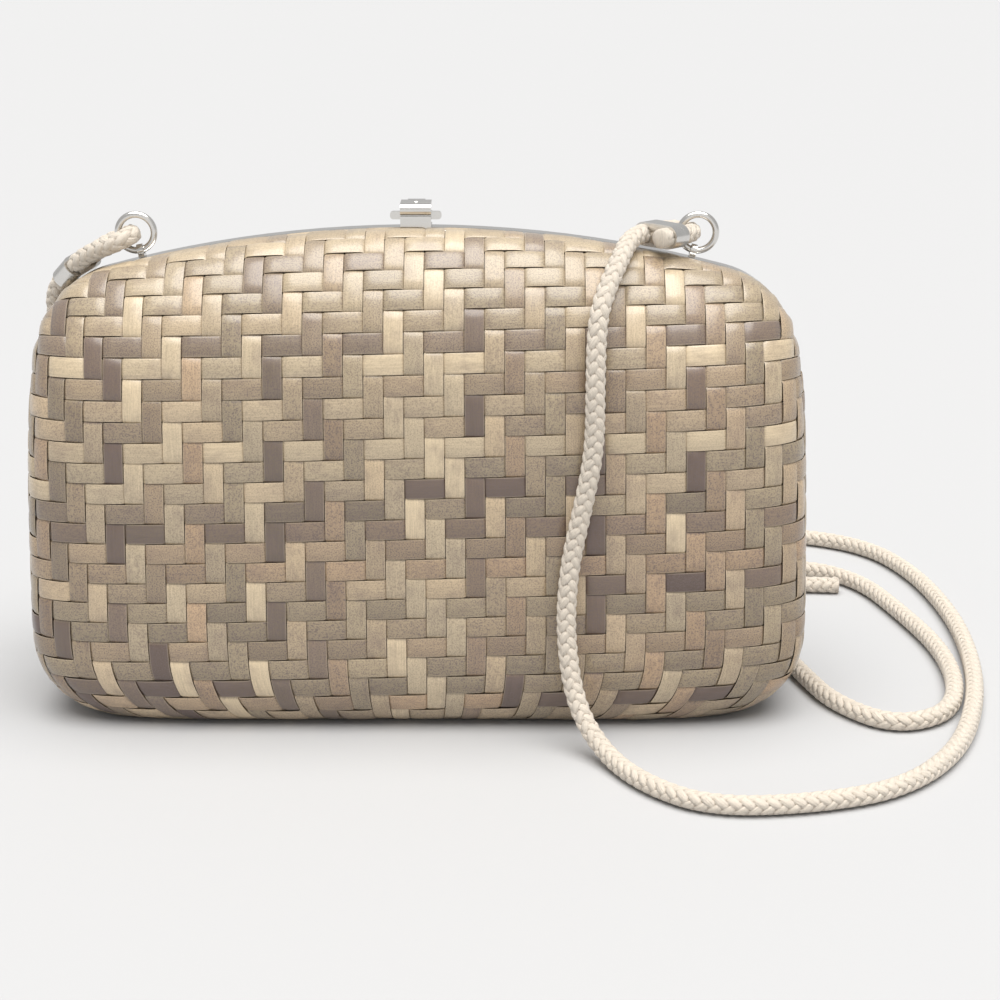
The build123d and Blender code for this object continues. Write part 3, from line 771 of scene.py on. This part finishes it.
lining_front = lining_half("lining_front", 0.0)
lining_back = lining_half("lining_back", 1.0)
lining_back.rotation_euler = (0, 0, math.pi)
for piece in (lining_front, lining_back):
    select_only(piece)
    bpy.ops.object.transform_apply(rotation=True)
    thick = piece.modifiers.new("cloth", "SOLIDIFY")
    thick.thickness = CLOTH_THICKNESS * MM
    thick.offset = -1
    bpy.ops.object.modifier_apply(modifier="cloth")
    bpy.ops.object.shade_smooth()
    print(piece.name, "faces", len(piece.data.polygons))

# %% [markdown]
# ## Finishes
# Straw, yarn, cloth and worn metal all have fine grain that runs one way. One shared node group
# draws it, stretched by each material's own values, so it is built once and not four times.

# %% Shared grain group
grain = bpy.data.node_groups.new("strand_grain", "ShaderNodeTree")
for label in ("Place", "Stretch"):
    grain.interface.new_socket(label, in_out="INPUT", socket_type="NodeSocketVector")
for label in ("Grain", "Specks"):
    grain.interface.new_socket(label, in_out="OUTPUT", socket_type="NodeSocketFloat")
g_in = grain.nodes.new("NodeGroupInput")
g_out = grain.nodes.new("NodeGroupOutput")
g_mul = grain.nodes.new("ShaderNodeVectorMath")
g_mul.operation = "MULTIPLY"
g_noise = grain.nodes.new("ShaderNodeTexNoise")
g_noise.inputs["Scale"].default_value = 1.0
g_noise.inputs["Detail"].default_value = 5.0
g_noise.inputs["Roughness"].default_value = 0.65
g_speck = grain.nodes.new("ShaderNodeTexNoise")
g_speck.inputs["Scale"].default_value = 2.6
g_speck.inputs["Detail"].default_value = 3.0
g_range = grain.nodes.new("ShaderNodeMapRange")
g_range.inputs["From Min"].default_value = 0.47
g_range.inputs["From Max"].default_value = 0.64
grain.links.new(g_in.outputs["Place"], g_mul.inputs[0])
grain.links.new(g_in.outputs["Stretch"], g_mul.inputs[1])
grain.links.new(g_mul.outputs[0], g_noise.inputs["Vector"])
grain.links.new(g_in.outputs["Place"], g_speck.inputs["Vector"])
grain.links.new(g_speck.outputs["Fac"], g_range.inputs["Value"])
grain.links.new(g_noise.outputs["Fac"], g_out.inputs["Grain"])
grain.links.new(g_range.outputs["Result"], g_out.inputs["Specks"])
print("shared grain nodes", len(grain.nodes))


# %% Helpers for finishes
def new_material(name):
    """A material with its nodes, links and shader."""
    made = bpy.data.materials.new(name)
    made.use_nodes = True
    return made, made.node_tree.nodes, made.node_tree.links, made.node_tree.nodes["Principled BSDF"]


def read_attribute(nodes, name):
    """A node that reads what a piece keeps at its points."""
    node = nodes.new("ShaderNodeAttribute")
    node.attribute_name = name
    return node


def add_grain(nodes, links, source, stretch):
    """The shared grain at a place, stretched along and across."""
    group = nodes.new("ShaderNodeGroup")
    group.node_tree = grain
    group.inputs["Stretch"].default_value = stretch
    links.new(source, group.inputs["Place"])
    return group


def mix_colour(nodes, links, kind, factor, a, b):
    """A colour mix node. Each input is a socket or a plain value."""
    mix = nodes.new("ShaderNodeMix")
    mix.data_type = "RGBA"
    mix.blend_type = kind
    for socket, value in ((mix.inputs[0], factor), (mix.inputs[6], a), (mix.inputs[7], b)):
        if hasattr(value, "node"):
            links.new(value, socket)
        else:
            socket.default_value = value
    return mix.outputs[2]


def ramp_values(nodes, links, value, low, high, to_low, to_high):
    """A value moved from one range to another."""
    node = nodes.new("ShaderNodeMapRange")
    labels = ("From Min", "From Max", "To Min", "To Max")
    for label, number in zip(labels, (low, high, to_low, to_high)):
        node.inputs[label].default_value = number
    links.new(value, node.inputs["Value"])
    return node.outputs["Result"]


def add_bump(nodes, links, shader, height, strength, distance):
    """Fine relief in the shading, too small for the mesh."""
    bump = nodes.new("ShaderNodeBump")
    bump.inputs["Strength"].default_value = strength
    bump.inputs["Distance"].default_value = distance
    links.new(height, bump.inputs["Height"])
    links.new(bump.outputs["Normal"], shader.inputs["Normal"])


print("finish helpers ready")

# %% [markdown]
# ## Lacquered straw
# The strips are split straw under a thin clear lacquer: streaks run along them, stains darken some
# stretches, and specks gather on the dark ones. The colour comes from each strip's own tone, which
# the mesh keeps, and the lacquer is a coat on the shader. A photograph could give all this, but
# nodes stay sharp at any distance.

# %% Lacquered straw
STAIN_TONE = (0.17, 0.115, 0.10, 1)
SPECK_TONE = (0.13, 0.092, 0.085, 1)
EDGE_HIGHLIGHT_TONE = (0.72, 0.60, 0.44, 1)
straw, nodes, links, shader = new_material("lacquered_straw")
tone = read_attribute(nodes, "straw_tone")
strip = read_attribute(nodes, "strip_place")
fibre = add_grain(nodes, links, strip.outputs["Vector"], (0.16, 3.2, 1.0))
stain = add_grain(nodes, links, strip.outputs["Vector"], (0.10, 0.16, 1.0))
streak = ramp_values(nodes, links, fibre.outputs["Grain"], 0.3, 0.7, 0.84, 1.12)
colour = mix_colour(nodes, links, "MULTIPLY", 1.0, tone.outputs["Color"], streak)
patch = ramp_values(nodes, links, stain.outputs["Grain"], 0.50, 0.72, 0.0, 0.42)
colour = mix_colour(nodes, links, "MIX", patch, colour, STAIN_TONE)
dusting = ramp_values(nodes, links, tone.outputs["Fac"], 0.22, 0.50, 0.80, 0.14)
speck = nodes.new("ShaderNodeMath")
speck.operation = "MULTIPLY"
links.new(fibre.outputs["Specks"], speck.inputs[0])
links.new(dusting, speck.inputs[1])
colour = mix_colour(nodes, links, "MIX", speck.outputs[0], colour, SPECK_TONE)
# Both long edges of every strip are mixed towards a pale tone: a painted highlight along the edges.
split = nodes.new("ShaderNodeSeparateXYZ")
links.new(strip.outputs["Vector"], split.inputs[0])
side = nodes.new("ShaderNodeMath")
side.operation = "ABSOLUTE"
links.new(split.outputs["Y"], side.inputs[0])
edge = ramp_values(nodes, links, side.outputs[0], 2.25, 2.55, 0.0, 0.2)
colour = mix_colour(nodes, links, "MIX", edge, colour, EDGE_HIGHLIGHT_TONE)
links.new(colour, shader.inputs["Base Color"])
dullness = ramp_values(nodes, links, fibre.outputs["Grain"], 0.2, 0.8, 0.34, 0.50)
links.new(dullness, shader.inputs["Roughness"])
shader.inputs["Coat Weight"].default_value = 0.75
shader.inputs["Coat Roughness"].default_value = 0.26
add_bump(nodes, links, shader, fibre.outputs["Grain"], 0.25, 0.0003)
print("straw nodes", len(nodes))

# %% [markdown]
# ## Cream cotton
# The cord is undyed cotton, dull, with fine threads and darker creases between its tufts. Real
# shade falls in the creases already, and a darker colour deep in each tuft adds painted shade
# there.

# %% Cream cotton
CREASE_SHADE_TONE = (0.50, 0.42, 0.33, 1)
COTTON_TONE = (0.72, 0.645, 0.55, 1)
cotton, nodes, links, shader = new_material("cream_cotton")
yarn = read_attribute(nodes, "yarn_place")
thread = add_grain(nodes, links, yarn.outputs["Vector"], (0.35, 3.4, 0.5))
split = nodes.new("ShaderNodeSeparateXYZ")
links.new(yarn.outputs["Vector"], split.inputs[0])
# Deep points of the tufts and the core take the darker tone: painted shade in the creases.
crease_shade = ramp_values(nodes, links, split.outputs["Z"], 0.66, 0.90, 0.0, 1.0)
colour = mix_colour(nodes, links, "MIX", crease_shade, CREASE_SHADE_TONE, COTTON_TONE)
threads = ramp_values(nodes, links, thread.outputs["Grain"], 0.3, 0.7, 0.86, 1.08)
colour = mix_colour(nodes, links, "MULTIPLY", 1.0, colour, threads)
links.new(colour, shader.inputs["Base Color"])
shader.inputs["Roughness"].default_value = 0.9
shader.inputs["Sheen Weight"].default_value = 0.25
add_bump(nodes, links, shader, thread.outputs["Grain"], 0.8, 0.0006)
print("cotton nodes", len(nodes))

# %% [markdown]
# ## Lining cloth
# The lining is plain tan cotton, seen only through the open mouth. A fine wave stands for its
# warp, which is enough at that distance, so no threads are modelled.

# %% Lining cloth
CLOTH_TONE = (0.50, 0.41, 0.28, 1)
cloth, nodes, links, shader = new_material("lining_cotton")
coords = nodes.new("ShaderNodeTexCoord")
warp = nodes.new("ShaderNodeTexWave")
warp.inputs["Scale"].default_value = 260.0
warp.inputs["Distortion"].default_value = 0.6
links.new(coords.outputs["Object"], warp.inputs["Vector"])
soft = add_grain(nodes, links, coords.outputs["Object"], (120.0, 120.0, 420.0))
weave = ramp_values(nodes, links, warp.outputs["Fac"], 0.0, 1.0, 0.86, 1.04)
colour = mix_colour(nodes, links, "MULTIPLY", 1.0, CLOTH_TONE, weave)
blotch = ramp_values(nodes, links, soft.outputs["Grain"], 0.3, 0.7, 0.9, 1.06)
colour = mix_colour(nodes, links, "MULTIPLY", 1.0, colour, blotch)
links.new(colour, shader.inputs["Base Color"])
shader.inputs["Roughness"].default_value = 0.88
add_bump(nodes, links, shader, warp.outputs["Fac"], 0.3, 0.0003)
print("lining nodes", len(nodes))

# %% [markdown]
# ## Polished nickel
# Frame, clasp, rings and ferrules are nickel plated and polished, with faint scuffs from use. The
# shine comes from the shader and the lights, and the scuffs only change its colour and roughness
# a little.

# %% Polished nickel
DULL_NICKEL = (0.60, 0.58, 0.55, 1)
BRIGHT_NICKEL = (0.76, 0.75, 0.73, 1)
nickel, nodes, links, shader = new_material("polished_nickel")
coords = nodes.new("ShaderNodeTexCoord")
scuff = add_grain(nodes, links, coords.outputs["Object"], (90.0, 260.0, 260.0))
colour = mix_colour(nodes, links, "MIX", scuff.outputs["Grain"], DULL_NICKEL, BRIGHT_NICKEL)
links.new(colour, shader.inputs["Base Color"])
shader.inputs["Metallic"].default_value = 1.0
scuffed = ramp_values(nodes, links, scuff.outputs["Grain"], 0.3, 0.75, 0.13, 0.30)
links.new(scuffed, shader.inputs["Roughness"])
print("nickel nodes", len(nodes))

# %% [markdown]
# ## Giving each piece its finish
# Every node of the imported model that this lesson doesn't replace is metal, so the list of metal
# pieces is what is left when the soft nodes are taken out.

# %% Finish of each piece
SOFT_NODES = (
    "woven_body", "lining", "strap_cord", "strap_tail", "strap_loop_left", "strap_loop_right",
)
metal_pieces = [node for name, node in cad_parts.items() if name not in SOFT_NODES]
for pieces, finish in (
    (metal_pieces, nickel),
    ((straw_front, straw_back, base), straw),
    ((lining_front, lining_back), cloth),
    ((strap, tail, left_eye, right_eye, stub), cotton),
):
    for piece in pieces:
        piece.data.materials.clear()
        piece.data.materials.append(finish)
print("metal pieces", len(metal_pieces))

# %% [markdown]
# ## What moves with what
# The frame's front half tips forward. The back of the mat, the bottom, the back of the lining,
# the strap, its tail and the cut end are fixed to the basket. The front of the mat and of the
# lining and the eyes of the cord have their places baked into their points, and nothing here
# makes them move.

# %% Bodies, replaced nodes, cords
for piece in (straw_back, base, lining_back, strap, tail, stub):
    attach(piece, "basket")
for piece in (straw_front, lining_front):
    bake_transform(piece)
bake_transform(left_eye)
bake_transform(right_eye)
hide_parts("woven_body")
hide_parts("lining")
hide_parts("strap_cord")
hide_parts("strap_tail")
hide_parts("strap_loop_left")
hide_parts("strap_loop_right")
print("strap length", round(strap_length, 4), "tail length", round(tail_length, 4))

# %% [markdown]
# ## Floor and light
# A plain pale floor, a broad soft light from above, even over the whole floor, and a weak fill.
# A sun lamp with a wide angle gives soft shadows and doesn't fade across the floor, as a near lamp
# would. The world is brighter for what the camera and the metal see, so both show a pale ground.

# %% Studio floor and world
FLOOR_TONE = (0.50, 0.505, 0.515, 1)
WORLD_STRENGTH = 0.46
GLOSSY_MORE = 0.10
CAMERA_MORE = 0.40
bpy.ops.mesh.primitive_plane_add(size=40.0, location=(0, 0, 0))
floor = bpy.context.object
floor.name = "studio_floor"
floor_finish, _, _, shader = new_material("pale_floor")
shader.inputs["Base Color"].default_value = FLOOR_TONE
shader.inputs["Roughness"].default_value = 0.75
floor.data.materials.append(floor_finish)
world = bpy.data.worlds.new("studio")
scene.world = world
world.use_nodes = True
nodes, links = world.node_tree.nodes, world.node_tree.links
background = nodes["Background"]
background.inputs["Color"].default_value = (1.0, 1.0, 1.0, 1)
background.inputs["Strength"].default_value = WORLD_STRENGTH
rays = nodes.new("ShaderNodeLightPath")
so_far = None
for ray, more in (("Is Glossy Ray", GLOSSY_MORE), ("Is Camera Ray", CAMERA_MORE)):
    add = nodes.new("ShaderNodeMath")
    add.operation = "MULTIPLY_ADD"
    add.inputs[1].default_value = more
    add.inputs[2].default_value = WORLD_STRENGTH
    links.new(rays.outputs[ray], add.inputs[0])
    if so_far:
        links.new(so_far, add.inputs[2])
    so_far = add.outputs[0]
links.new(so_far, background.inputs["Strength"])
print("floor and world ready")

# %% Lamps
LAMP_TINT = (1.0, 0.98, 0.95)
KEY_ENERGY = 4.2
KEY_SPREAD = 60
FILL_ENERGY = 1.0
FILL_SIZE = 0.9


def add_lamp(kind, name, place, way, energy):
    """A lamp of one kind that shines along a direction."""
    bpy.ops.object.light_add(type=kind, location=place)
    lamp = bpy.context.object
    lamp.name = name
    lamp.data.energy = energy
    lamp.data.color = LAMP_TINT
    lamp.rotation_euler = way.to_track_quat("-Z", "Y").to_euler()
    return lamp


key = add_lamp("SUN", "key", (0, 0, 1), Vector((-0.05, 0.22, -1)), KEY_ENERGY)
key.data.angle = math.radians(KEY_SPREAD)
fill_place = Vector((0.3, -1.3, 0.6))
fill_way = Vector((0, 0, 0.06)) - fill_place
fill = add_lamp("AREA", "fill", fill_place, fill_way, FILL_ENERGY)
fill.data.size = FILL_SIZE
print("lamps", key.name, fill.name)
